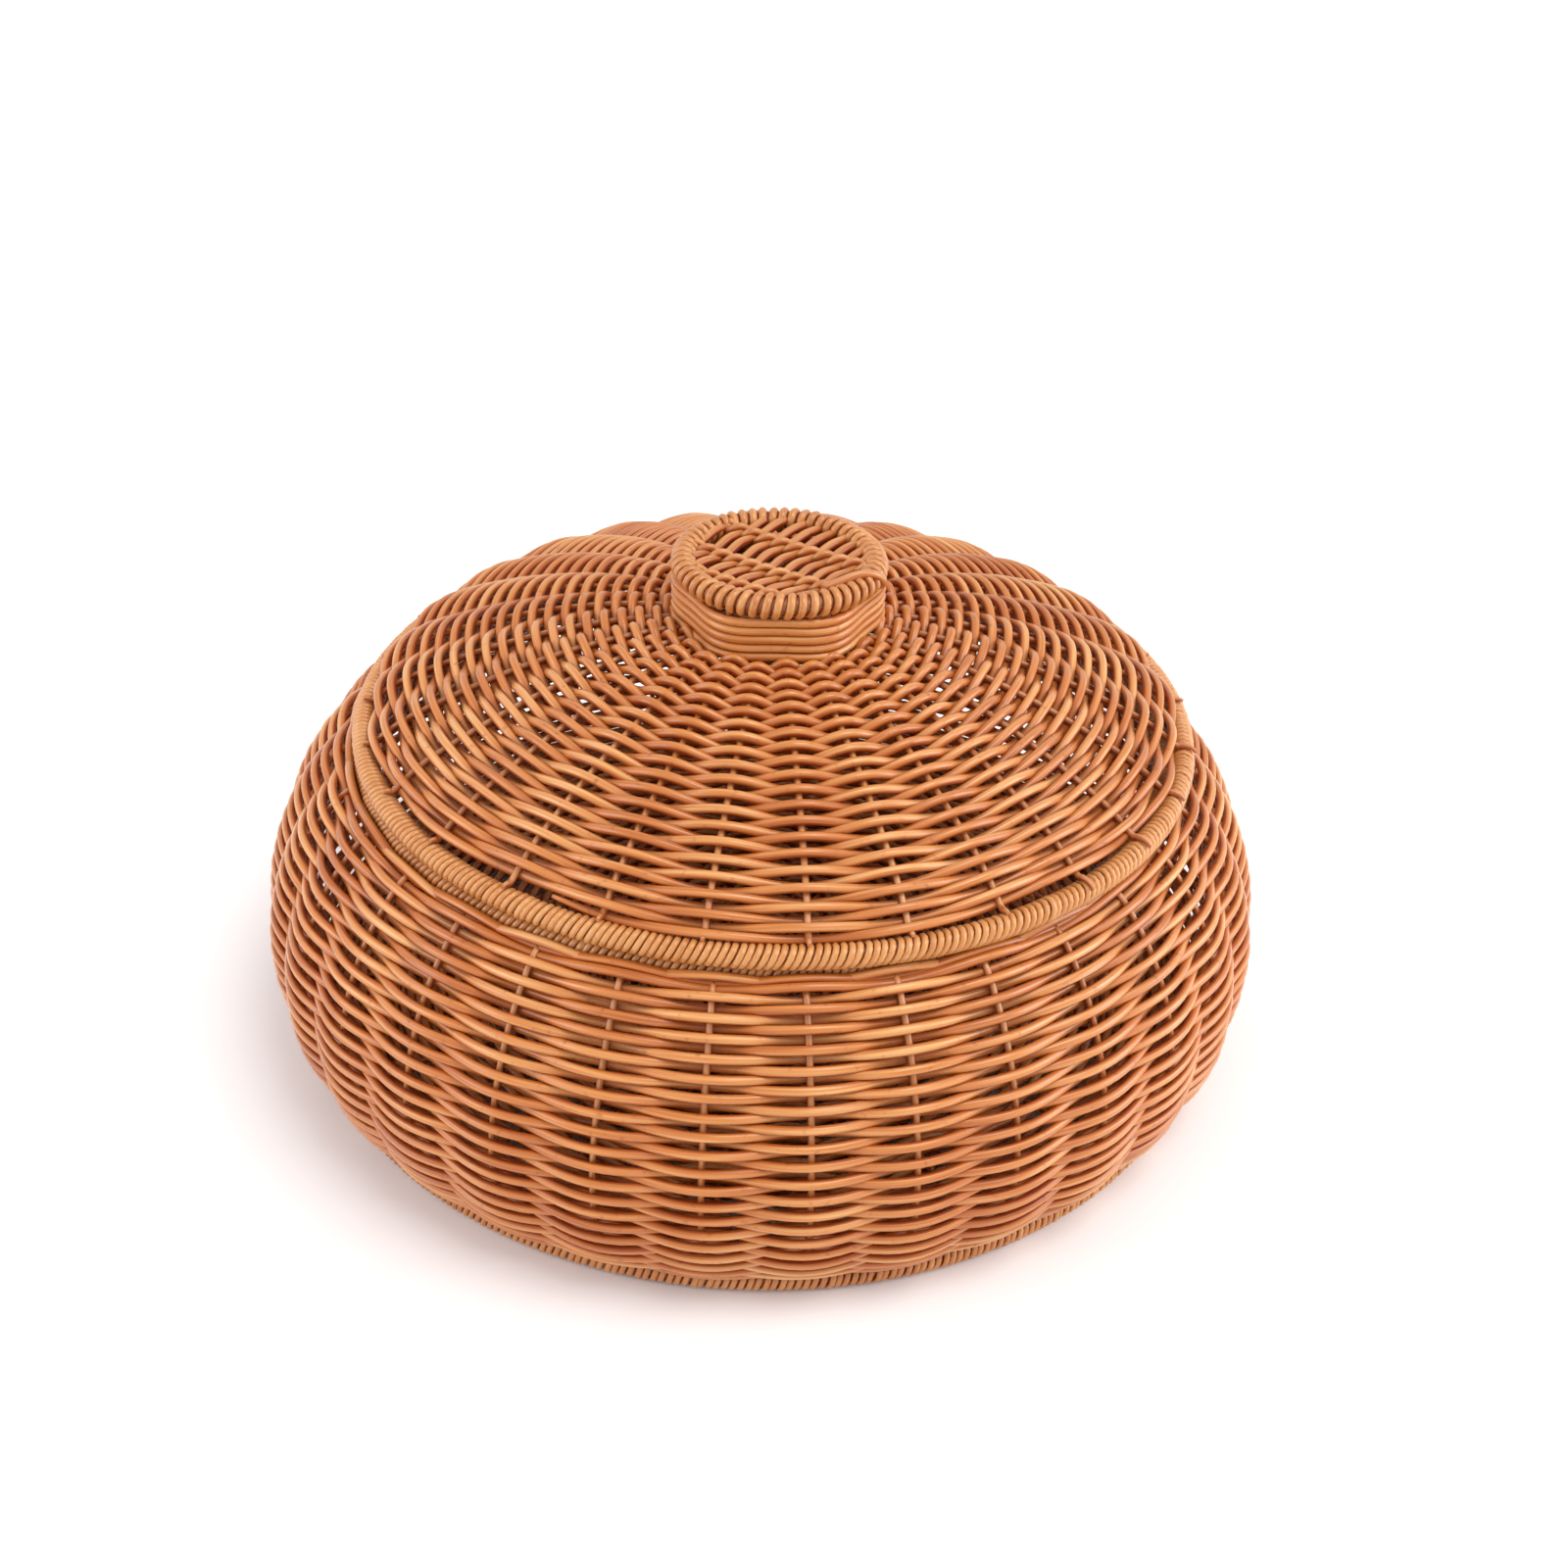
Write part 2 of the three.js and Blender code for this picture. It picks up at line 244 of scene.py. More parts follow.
def rattan(name, pale, middle, deep, streaks, gloss, relief):
    """Material of varnished cane: the grain group's colour, roughness and height, under a satin coat that is
    thinner in the crevices."""
    made = bpy.data.materials.new(name)
    made.use_nodes = True
    nodes, links = made.node_tree.nodes, made.node_tree.links
    shader = nodes["Principled BSDF"]
    grain = nodes.new("ShaderNodeGroup")
    grain.node_tree = rattan_grain
    grain.inputs["Pale"].default_value = (*pale, 1)
    grain.inputs["Middle"].default_value = (*middle, 1)
    grain.inputs["Deep"].default_value = (*deep, 1)
    grain.inputs["Streaks"].default_value = streaks
    grain.inputs["Gloss"].default_value = gloss
    bump = nodes.new("ShaderNodeBump")
    bump.inputs["Strength"].default_value = relief
    bump.inputs["Distance"].default_value = 0.2 * mm
    links.new(grain.outputs["Height"], bump.inputs["Height"])
    links.new(bump.outputs["Normal"], shader.inputs["Normal"])
    links.new(grain.outputs["Color"], shader.inputs["Base Color"])
    links.new(grain.outputs["Roughness"], shader.inputs["Roughness"])
    links.new(grain.outputs["Sheen"], shader.inputs["Coat Weight"])
    shader.inputs["Specular IOR Level"].default_value = 0.4
    shader.inputs["Coat Roughness"].default_value = 0.26
    return made


stake_cane = rattan("stake_cane", pale=(0.77, 0.39, 0.17), middle=(0.59, 0.215, 0.06),
                    deep=(0.36, 0.09, 0.018), streaks=0.6, gloss=0.38, relief=0.25)


def unit(vectors):
    """Each vector divided by its own length."""
    return vectors / np.linalg.norm(vectors, axis=-1, keepdims=True)


def round_section(radius, sides, spread=1.0):
    """Points of a circle, or of an oval spread across, the first one at the side that faces the core."""
    turn = np.arange(sides) * 2 * np.pi / sides - np.pi / 2
    return np.stack([radius * spread * np.cos(turn), radius * np.sin(turn)], 1)


def cane_piece(name, centres, outward, section, tone, material, thickness=None, depth=0.0, crevice=0.42):
    """Canes as skins: centres[m, n] are points along m lines, and at each of them the section's points are
    laid out square to the line, their second number along the outward direction and their first one across
    it. Thickness scales the section at each point. Both ends are closed by a flat face. Each point carries an
    amount of painted shade that darkens its colour: the crevice share at the flanks of the section, more
    where the line lies deep in the weave as seen from the side that the point faces, and a little more all
    over the inner side."""
    grain_run = 20 * mm
    grain_shift = 3.7
    deep_share = 0.42
    inner_share = 0.25
    cap_share = 0.1
    lines, steps, _ = centres.shape
    sides = len(section)
    forward = unit(np.gradient(centres, axis=1))
    out = unit(outward - np.sum(outward * forward, -1, keepdims=True) * forward)
    across = np.cross(forward, out)
    scale = np.ones((lines, steps)) if thickness is None else thickness
    ring = (centres[:, :, None]
            + (scale[..., None] * section[:, 0])[..., None] * across[:, :, None]
            + (scale[..., None] * section[:, 1])[..., None] * out[:, :, None])
    points = ring.reshape(-1, 3)

    first = np.arange(lines)[:, None, None] * steps * sides
    step = np.arange(steps - 1)[None, :, None] * sides
    side = np.arange(sides)[None, None, :]
    beside = (side + 1) % sides
    quads = np.stack([first + step + side, first + step + sides + side,
                      first + step + sides + beside, first + step + beside], -1).reshape(-1, 4)
    start_caps = (first[:, 0] + side[0]).reshape(lines, sides)
    end_caps = start_caps[:, ::-1] + (steps - 1) * sides
    corners = np.concatenate([quads.ravel(), start_caps.ravel(), end_caps.ravel()])
    counts = np.concatenate([np.full(len(quads), 4), np.full(2 * lines, sides)])
    starts = np.concatenate([[0], np.cumsum(counts)[:-1]])

    gone = np.linalg.norm(np.diff(centres, axis=1), axis=-1)
    gone = np.concatenate([np.zeros((lines, 1)), np.cumsum(gone, 1)], 1) / grain_run
    u = np.broadcast_to(gone[:, :, None], (lines, steps, sides))
    u = u + np.arange(lines)[:, None, None] * grain_shift
    v_low = np.broadcast_to(side / sides, (lines, steps - 1, sides))
    v_high = v_low + 1 / sides
    quad_uv = np.stack([
        np.stack([u[:, :-1], v_low], -1), np.stack([u[:, 1:], v_low], -1),
        np.stack([u[:, 1:], v_high], -1), np.stack([u[:, :-1], v_high], -1)], -2).reshape(-1, 2)
    cap_uv = np.tile(section / np.abs(section).max() * cap_share, (2 * lines, 1))
    uv = np.concatenate([quad_uv, cap_uv])

    mesh = bpy.data.meshes.new(name)
    mesh.vertices.add(len(points))
    mesh.vertices.foreach_set("co", points.astype(np.float32).ravel())
    mesh.loops.add(len(corners))
    mesh.loops.foreach_set("vertex_index", corners.astype(np.int32))
    mesh.polygons.add(len(counts))
    mesh.polygons.foreach_set("loop_start", starts.astype(np.int32))
    mesh.update(calc_edges=True)
    mesh.validate()
    mesh.polygons.foreach_set("use_smooth", np.concatenate([
        np.ones(len(quads), bool), np.zeros(2 * lines, bool)]))
    layer = mesh.uv_layers.new(name="cane")
    layer.data.foreach_set("uv", uv.astype(np.float32).ravel())
    shade = mesh.attributes.new("tone", "FLOAT", "POINT")
    shade.data.foreach_set("value", np.repeat(
        np.broadcast_to(tone, (lines, steps)).ravel(), sides).astype(np.float32))
    # Painted shade on the colour, standing in for the shade in the weave: darkest at the flanks of each cane,
    # deep in the weave and on its inner side.
    inner = 0.5 - 0.5 * section[:, 1] / section[:, 1].max()
    deep = np.broadcast_to(depth, (lines, steps))[..., None]
    at_flank = crevice * (1 - np.abs(1 - 2 * inner))
    in_weave = deep_share * (deep * (1 - inner) + (1 - deep) * inner)
    painted_shade = at_flank + in_weave + inner_share * inner
    painted_shade_layer = mesh.attributes.new("painted_shade_layer", "FLOAT", "POINT")
    painted_shade_layer.data.foreach_set("value", np.clip(painted_shade, 0, 1).astype(np.float32).ravel())
    mesh.materials.append(material)
    piece = bpy.data.objects.new(name, mesh)
    scene.collection.objects.link(piece)
    return piece


def profile_line(points, inset, end_inset, ease, columns=400):
    """A line of [radius, height] points, moved to the left of its direction by the inset, which eases to the
    end inset over the last stretch, as evenly spaced columns: length along it, radius, height, and the radial
    and upward parts of the outward direction."""
    points = np.array(points)
    way = unit(np.gradient(points, axis=0))
    left = np.linalg.norm(np.diff(points, axis=0), axis=1)[::-1]
    left = np.concatenate([[0], np.cumsum(left)])[::-1]
    near = np.clip(1 - left / ease, 0, 1)
    near = near * near * (3 - 2 * near)
    moved = points + (inset + (end_inset - inset) * near)[:, None] * np.stack([-way[:, 1], way[:, 0]], 1)
    length = np.concatenate([[0], np.cumsum(np.linalg.norm(np.diff(moved, axis=0), axis=1))])
    even = np.linspace(0, length[-1], columns)
    radius = np.interp(even, length, moved[:, 0])
    height = np.interp(even, length, moved[:, 1])
    way = unit(np.stack([np.gradient(radius), np.gradient(height)], 1))
    return np.stack([even, radius, height, way[:, 1], -way[:, 0]])


widest_radius = 160 * mm
widest_height = 44.4 * mm
foot_edge_radius = 149.6 * mm
foot_edge_height = 7 * mm
mouth_radius = 128.6 * mm  # where the shoulder would end if it ran on to level
mouth_height = 100.6 * mm
lower_fullness = 2.9
upper_fullness = 1.21
shoulder_turn = 87.8  # degrees of the shoulder's quarter turn before the rim stops it


def wall_outside():
    """Outside of the wall from the foot to the mouth: below the widest line the radius falls off with a power
    of the drop, above it radius and height follow a cosine and a sine to a power."""
    drop = np.linspace(1, 0, 40, endpoint=False) ** 0.8
    low = np.stack([widest_radius - (widest_radius - foot_edge_radius) * drop ** lower_fullness,
                    widest_height - (widest_height - foot_edge_height) * drop], 1)
    turn = np.radians(np.linspace(0, shoulder_turn, 60))
    high = np.stack([mouth_radius + (widest_radius - mouth_radius) * np.cos(turn) ** upper_fullness,
                     widest_height + (mouth_height - widest_height) * np.sin(turn) ** upper_fullness], 1)
    return np.concatenate([low, high])


wall = profile_line(wall_outside(), stake_inset, stake_inset_at_mouth, inset_ease)
wall_length = wall[0, -1]


def on_line(line, length):
    """Radius, height and outward direction of a profile line at a length along it."""
    return [np.interp(length, line[0], line[i]) for i in (1, 2, 3, 4)]


def drift(turn, rise, seed, waves=5):
    """Slow unevenness between about -1 and 1: the sum of a few sine waves round the basket, each of its own
    strength and start, and each shifted with the rise."""
    chance = np.random.default_rng(seed)
    total = 0
    for wave in range(1, waves + 1):
        strength, start, climb = chance.uniform(0.4, 1), chance.uniform(0, 6.3), chance.uniform(-30, 30)
        total = total + strength * np.sin(wave * turn + start + climb * rise)
    return total / math.sqrt(waves)


stake_wander = 0.011


def stake_turn(turn, length):
    """Where a stake that should stand at a turn really stands at a length up the wall: drifted a little."""
    return turn + stake_wander * drift(turn, length * 0.6, 3)


first_stake = math.radians(-84.43)  # the stake at the front stands a little to the right
lane_pitch = 2.75 * mm
per_bundle = 8
lane = np.arange(per_bundle) - (per_bundle - 1) / 2
fan = lane * 2 * np.pi / stake_count
cross_half = (per_bundle + 1) / 2 * lane_pitch
settle_share = 0.14
crossing_rise = 2.7 * mm
rise_from = 4.5 * mm
bend = np.linspace(0, 1, 9)[:, None]
bend_start = np.array([wall[1, 0] - 8 * mm, base_level])
bend_corner = np.array([wall[1, 0] - 1 * mm, base_level])
bend_end = np.array(on_line(wall, rise_from)[:2])
bend_line = (1 - bend) ** 2 * bend_start + 2 * bend * (1 - bend) * bend_corner + bend ** 2 * bend_end
up_length = np.linspace(rise_from, wall_length, 40)[1:]
stake_r, stake_z = on_line(wall, up_length)[:2]
upturn_radius = np.concatenate([bend_line[:, 0], stake_r])
upturn_height = np.concatenate([bend_line[:, 1], stake_z])
upturn_length = np.concatenate([np.zeros(len(bend)), up_length])
flat = np.linspace(0, 1, 14, endpoint=False)


def base_cane_lines(quarter, cross_rise):
    """Centre lines of one bundle: along the lanes over the crossing, straight out to the bend, where a curve
    with one corner point turns them up, and up the wall."""
    halves = []
    for sign in (1, -1):
        turn = (fan if sign == 1 else np.pi - fan) + quarter
        stands = stake_turn(turn[:, None], upturn_length[None])
        outer = np.stack([upturn_radius * np.cos(stands), upturn_radius * np.sin(stands),
                          np.broadcast_to(upturn_height, stands.shape)], -1)
        start = np.stack([np.full(per_bundle, cross_half * sign), lane * lane_pitch], 1)
        cos, sin = math.cos(quarter), math.sin(quarter)
        start = start @ np.array([[cos, sin], [-sin, cos]])
        run = start[:, None] + flat[None, :, None] * (outer[:, :1, :2] - start[:, None])
        drop = base_level + cross_rise * np.clip(1 - flat / settle_share, 0, 1)
        inner = np.concatenate([run, np.broadcast_to(drop, run.shape[:2])[..., None]], -1)
        halves.append(np.concatenate([inner, outer], 1))
    return np.concatenate([halves[1][:, ::-1], halves[0]], 1)


base_lines = np.concatenate([base_cane_lines(0, crossing_rise), base_cane_lines(np.pi / 2, 0)])
from_inside = base_lines - [0, 0, 30 * mm]  # away from a point in the middle of the basket
cane_tones = np.random.default_rng(5).uniform(0.2, 1, (2 * per_bundle, 1))
base_canes = cane_piece("base_canes", base_lines, from_inside, round_section(stake_radius, 8), cane_tones,
                        stake_cane, depth=0.35)
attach(base_canes, "basket")
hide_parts(*[f"base_cane_{i:02d}" for i in range(1, 17)])


# Wall weave.
# Two long weavers of round varnished cane run up the wall side by side in a spiral, one outside the even
# stakes and inside the odd ones, the other the opposite way, so that row after row changes sides.
weaver_cane = rattan("weaver_cane", pale=(0.77, 0.405, 0.145), middle=(0.61, 0.21, 0.043),
                     deep=(0.43, 0.105, 0.013), streaks=0.7, gloss=0.3, relief=0.25)
weaver_radius = 1.3 * mm
weaver_spread = 1.07
reach = stake_radius + weaver_radius
row_pitch = 2.64 * mm
row_wander = 0.22 * mm
row_kink = 0.12 * mm
swing_wander = 0.05
thickness_wander = 0.04
end_taper = 15 * mm
end_share = 0.45  # of a weaver's thickness, left at its very end
last_gap = 0.15 * mm  # between the two weavers where they are pressed together at the end of the surface


def spiral_weaver(line, first, rows, pitch, which, stakes, phase, places, start, seed, per_stake, calm=None):
    """Centre line of one of two weavers wound round a surface, the second one started half a turn after the
    first: it climbs two rows a turn, and swings out and in by a cosine that has its peaks at the stakes. Calm
    gives, for a turn and a length, the share by which the swing is less, the shift outward in its place, and
    how much further along the row lies. Both ends are tapered. Returns points, outward directions, thickness
    and depth in the weave."""
    # The odd factors and seeds keep the four drifts from running alike.
    turns = rows / 2
    start = start + np.pi * which
    turn = start + np.linspace(0, turns * 2 * np.pi, int(turns * stakes * per_stake) + 1)
    length = first + pitch * (turn - start) / np.pi
    wander = row_wander * drift(turn, length, seed) + row_kink * drift(turn * 1.37, length * 3, seed + 7)
    length = length + wander
    less, shift, further = (0, 0, 0) if calm is None else calm(turn, length)
    length = np.clip(length + further, line[0, 0], line[0, -1] - last_gap * (1 - which))
    count = (turn - phase - (places(turn, length) - turn)) * stakes / (2 * np.pi)
    side = np.cos(np.pi * count) * (1 if which == 0 else -1)
    swing = reach * side * (1 + swing_wander * drift(turn * 2.1, length, seed + 3)) * (1 - less) + shift
    radius, height, out_r, out_z = on_line(line, length)
    radius = radius + out_r * swing
    height = height + out_z * swing
    points = np.stack([radius * np.cos(turn), radius * np.sin(turn), height], -1)
    outward = np.stack([out_r * np.cos(turn), out_r * np.sin(turn), out_z], -1)
    thickness = 1 + thickness_wander * drift(turn * 0.83, length * 5, seed + 11)
    to_end = np.minimum(radius * (turn - turn[0]), radius * (turn[-1] - turn)) / end_taper
    thickness = thickness * (end_share + (1 - end_share) * np.clip(to_end, 0, 1))
    return points, outward, thickness, 0.5 - 0.5 * swing / reach


def lengths_tone(points, cane_length, seed):
    """Tone of each point: a weaver is pieced together from canes of some length, each of its own tone."""
    gone = np.concatenate([[0], np.cumsum(np.linalg.norm(np.diff(points, axis=0), axis=1))])
    chance = np.random.default_rng(seed)
    tones = chance.uniform(0, 1, int(gone[-1] / cane_length) + 3)
    return tones[(gone / cane_length + chance.uniform(0, 1)).astype(int)]


mouth_calm_run = 7 * mm
mouth_lie_out = 0.9 * mm
foot_calm_run = 9 * mm
foot_bulge = 0.4 * mm
foot_bulge_left = 1.1 * mm
left_side = math.radians(-150)


def calm_ends(turn, length):
    """Close below the mouth the weavers swing less and lie more on the outside. Close above the foot they are
    packed tight, swing less and bulge over it, most on the left. Both fade out evenly along the wall."""
    mouth = np.clip(1 - (wall_length - length) / mouth_calm_run, 0, 1)
    foot = np.clip(1.3 - length / foot_calm_run, 0, 1)
    bulge = foot_bulge + foot_bulge_left * np.clip(np.cos(turn - left_side), 0, 1)
    return 0.45 * mouth + 0.6 * foot, mouth_lie_out * mouth + bulge * foot, 0


# The rows are counted in pairs, with enough of them to press the last ones together at the mouth.
wall_first = -0.8 * mm
wall_start = math.radians(10)
wall_rows = 2 * math.ceil((wall_length - 1.0 * mm) / (2 * row_pitch) + 0.6)
for which, name in enumerate(("wall_weaver_a", "wall_weaver_b")):
    points, outward, thickness, depth = spiral_weaver(
        wall, wall_first, wall_rows, row_pitch, which, stake_count, first_stake, stake_turn,
        wall_start, seed=20 + which, per_stake=9, calm=calm_ends)
    tone = lengths_tone(points, cane_length=3.1, seed=31 + which)
    wall_weaver = cane_piece(name, points[None], outward[None],
                             round_section(weaver_radius, 8, weaver_spread), tone[None], weaver_cane,
                             thickness[None], depth[None])
    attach(wall_weaver, "basket")
    if which == 0:
        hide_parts("wall_weave")


# Base weave.
# The same kind of weavers wound flat through the spread base canes, over pairs of canes near the middle and
# over single ones further out.
base_open_radius = 20 * mm
base_edge_radius = 147.2 * mm
base_length = np.linspace(0, base_edge_radius - base_open_radius, 400)
base_flat = np.stack([base_length, base_open_radius + base_length, np.full_like(base_length, base_level),
                      np.zeros_like(base_length), np.ones_like(base_length)])


ring_lap_from = 117.5 * mm
ring_lap_ease = 3 * mm
ring_lap_rise = 1.25 * mm


def base_turn(turn, length):
    """The base canes run straight out: each stands where it should."""
    return turn


def calm_foot(turn, length):
    """Over the foot ring the rows lie side by side on top, without a swing: both set in evenly."""
    near = np.clip((length - ring_lap_from) / ring_lap_ease, 0, 1)
    return near, ring_lap_rise * near, 0


pair_rows = 8
single_rows = int((base_length[-1] - 0.3 * mm) / row_pitch) - pair_rows
for which, name in enumerate(("base_weaver_a", "base_weaver_b")):
    near = spiral_weaver(base_flat, 0, pair_rows, row_pitch, which, stake_count // 2,
                         first_stake + np.pi / stake_count, base_turn, 0.0, seed=40 + which, per_stake=10)
    far = spiral_weaver(base_flat, pair_rows * row_pitch, single_rows, row_pitch, which, stake_count,
                        first_stake, base_turn, 0.0, seed=40 + which, per_stake=7, calm=calm_foot)
    points, outward, thickness, depth = (np.concatenate([a, b[1:]]) for a, b in zip(near, far))
    tone = lengths_tone(points, cane_length=2.6, seed=51 + which)
    base_weaver = cane_piece(name, points[None], outward[None],
                             round_section(weaver_radius, 6, weaver_spread), tone[None], weaver_cane,
                             thickness[None], depth=0.6)
    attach(base_weaver, "basket")
    if which == 0:
        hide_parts("base_weave")


# Foot ring.
# A heavier hoop under the edge of the base, wound closely with thin cane that ties it to the base.
wrap_cane = rattan("wrap_cane", pale=(0.75, 0.40, 0.155), middle=(0.63, 0.262, 0.073),
                   deep=(0.44, 0.127, 0.021), streaks=0.45, gloss=0.32, relief=0.2)
hoop_cane = rattan("hoop_cane", pale=(0.50, 0.22, 0.08), middle=(0.36, 0.12, 0.035),
                   deep=(0.2, 0.055, 0.015), streaks=0.5, gloss=0.5, relief=0.2)


def stay(points):
    """Points that are already in place."""
    return points


def hoop(name, radius, height, size, body, put=stay):
    """A ring of round cane: a circle carried round a circle. Its two ends all but meet at the back."""
    cut_turn = math.radians(95)
    cut_gap = 0.004
    turn = cut_turn + np.linspace(0, 2 * np.pi - cut_gap, 97)
    centres = np.stack([radius * np.cos(turn), radius * np.sin(turn), np.full_like(turn, height)], -1)
    outward = np.stack([np.cos(turn), np.sin(turn), np.zeros_like(turn)], -1)
    piece = cane_piece(name, put(centres)[None], outward[None], round_section(size, 10), tone=0.5,
                       material=hoop_cane)
    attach(piece, body)
    return piece


def half_round(width, height):
    """Section of split cane: a flat back and a domed front."""
    turn = np.linspace(0, np.pi, 6)
    return np.stack([width / 2 * np.cos(turn), height * np.sin(turn)], 1)


def winding(name, radius, height, core, wraps, width, thick, body, seed, put=stay, slant=1.1 * mm,
            tone=0.6, crevice=0.12):
    """Thin cane wound round a hoop: a point that circles the hoop's own line once per wrap while it goes
    round, leaning forward at the top and back underneath, with a half-round section whose flat back lies on
    the hoop. Each wrap lies a little off its place and a little closer or looser, by chance."""
    steps = 12
    start = math.radians(60)
    place_jitter = 0.13 * mm
    size_jitter = 0.025
    turn = start + np.linspace(0, 2 * np.pi, wraps * steps + 1)
    spin = np.arange(wraps * steps + 1) * 2 * np.pi / steps
    chance = np.random.default_rng(seed)
    jitter = np.interp(np.arange(len(turn)) / steps, np.arange(wraps + 1), chance.normal(0, 1, wraps + 1))
    turn = turn + (slant * np.sin(spin) + place_jitter * jitter) / radius
    core_size = core * (1 + size_jitter * jitter)
    across = radius + core_size * np.cos(spin)
    lift = height + core_size * np.sin(spin)
    centres = np.stack([across * np.cos(turn), across * np.sin(turn), lift], -1)
    outward = np.stack([np.cos(spin) * np.cos(turn), np.cos(spin) * np.sin(turn), np.sin(spin)], -1)
    tones = np.clip(tone + 0.3 * np.repeat(chance.normal(0, 0.5, wraps + 1), steps)[:len(turn)]
                    + 0.2 * drift(turn, 0, seed), 0, 1)
    moved = put(centres)
    piece = cane_piece(name, moved[None], (put(centres + outward * mm) - moved)[None],
                       half_round(width, thick), tones[None], wrap_cane, crevice=crevice)
    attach(piece, body)
    return piece


foot_ring_radius = 144.5 * mm
foot_ring_height = 3.55 * mm
foot_hoop = hoop("foot_hoop_cane", foot_ring_radius, foot_ring_height, size=2.2 * mm, body="basket")
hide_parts("foot_hoop")
# Painted shade: the foot's winding gets a low tone and a large crevice share, so that it reads dark as if in
# the shade under the wall.
foot_wrapping = winding("foot_winding", foot_ring_radius, foot_ring_height, core=2.25 * mm, wraps=400,
                        width=2.15 * mm, thick=1.1 * mm, body="basket", seed=61, slant=0.5 * mm, tone=0.1,
                        crevice=0.7)
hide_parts("foot_wrapping")


# Rim ring.
# The same at the mouth: a heavier hoop laid inside the last rows and the tops of the stakes, wound closely
# with thin cane.
rim_ring_radius = 124.5 * mm
rim_ring_height = 99.4 * mm
rim_hoop = hoop("rim_hoop_cane", rim_ring_radius, rim_ring_height, size=2.25 * mm, body="basket")
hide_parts("rim_hoop")
rim_wrapping = winding("rim_winding", rim_ring_radius, rim_ring_height, core=2.3 * mm, wraps=350,
                       width=2.1 * mm, thick=1.15 * mm, body="basket", seed=67)
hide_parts("rim_wrapping")


# Lid canes.
# Fourteen round canes crossed in two bundles under the knob and spread to twenty-eight ribs that run down
# inside the weave to the lid's edge. The lid lies 3 mm to the right of centre and leans that way.
lid_shift = 3 * mm
lid_ring_radius = 127.2 * mm
ring_touch = 7.3 * mm  # from the middle of the rim's ring to the middle of the lid's ring, which lies on it
ring_step = lid_ring_radius - rim_ring_radius
seat_rise = math.sqrt(ring_touch ** 2 - ring_step ** 2)
lid_lean = ring_step * lid_shift / seat_rise / lid_ring_radius
lid_turn = math.radians(5.2)
rib_count = 28
rib_inset = 2.6 * mm
neck_radius = 31.2 * mm
dome_top_rise = 36.2 * mm
dome_edge_rise = 7.5 * mm
dome_edge_radius = lid_ring_radius + 0.6 * mm
dome_start_radius = 128 * mm
dome_open_radius = 26.5 * mm
dome_fullness = 1.8
hem_from = 113 * mm  # outside this radius the dome bends down more steeply
hem_run = 13 * mm
hem_fall = 2.4 * mm


def on_basket(points):
    """Points of the lid's own frame, where height 0 is the middle of its ring, put in place: leant by a turn
    about the front-to-back axis, then shifted right and up."""
    cos, sin = math.cos(lid_lean), math.sin(lid_lean)
    x, y, z = points[..., 0], points[..., 1], points[..., 2]
    return np.stack([x * cos + z * sin + lid_shift, y, z * cos - x * sin + rim_ring_height + seat_rise], -1)


def dome_outside():
    """Outside of the dome from the edge to a little inside the neck: its height falls with a power of the
    distance out, and over the last stretch with a square as well, so that the edge meets the ring's inner
    side."""
    radius = np.linspace(dome_start_radius, dome_open_radius, 84)
    out = np.clip(radius - neck_radius, 0, None) / (dome_edge_radius - neck_radius)
    past = np.clip(radius - hem_from, 0, None) / hem_run
    fall = (dome_top_rise - dome_edge_rise) * out ** dome_fullness + hem_fall * past ** 2
    return np.stack([radius, dome_top_rise - fall], 1)


dome = profile_line(dome_outside(), rib_inset, rib_inset, ease=mm)
dome_length = dome[0, -1]


rib_swing = 0.026
rib_wander = 0.02


def rib_turn(turn, length):
    """Where a rib that should run at a turn really runs at a length up the dome: turned back and drifted a
    little."""
    return turn - rib_swing + rib_wander * drift(turn, length * 0.5, 9)


rib_bundle = rib_count // 4
rib_lane = np.arange(rib_bundle) - (rib_bundle - 1) / 2
rib_fan = rib_lane * 2 * np.pi / rib_count
rib_cross = (rib_bundle + 1) / 2 * lane_pitch
down_length = np.linspace(dome_length, 3.5 * mm, 34)
rib_radius, rib_height = on_line(dome, down_length)[:2]
rib_length = np.concatenate([down_length, np.full(6, down_length[-1])])
rib_crossing_rise = 2.4 * mm
over_ring = 4.5 * mm  # from the middle of the ring's section to a rib that bends over it
ring_meet = 118  # degrees round the ring's section, where the ribs come to lie on it
ring_leave = 84  # and where they end
ring_leave_right = 38  # and where they end on the right
right_side = math.radians(-24)
rib_flat = np.linspace(0, 1, 8, endpoint=False)


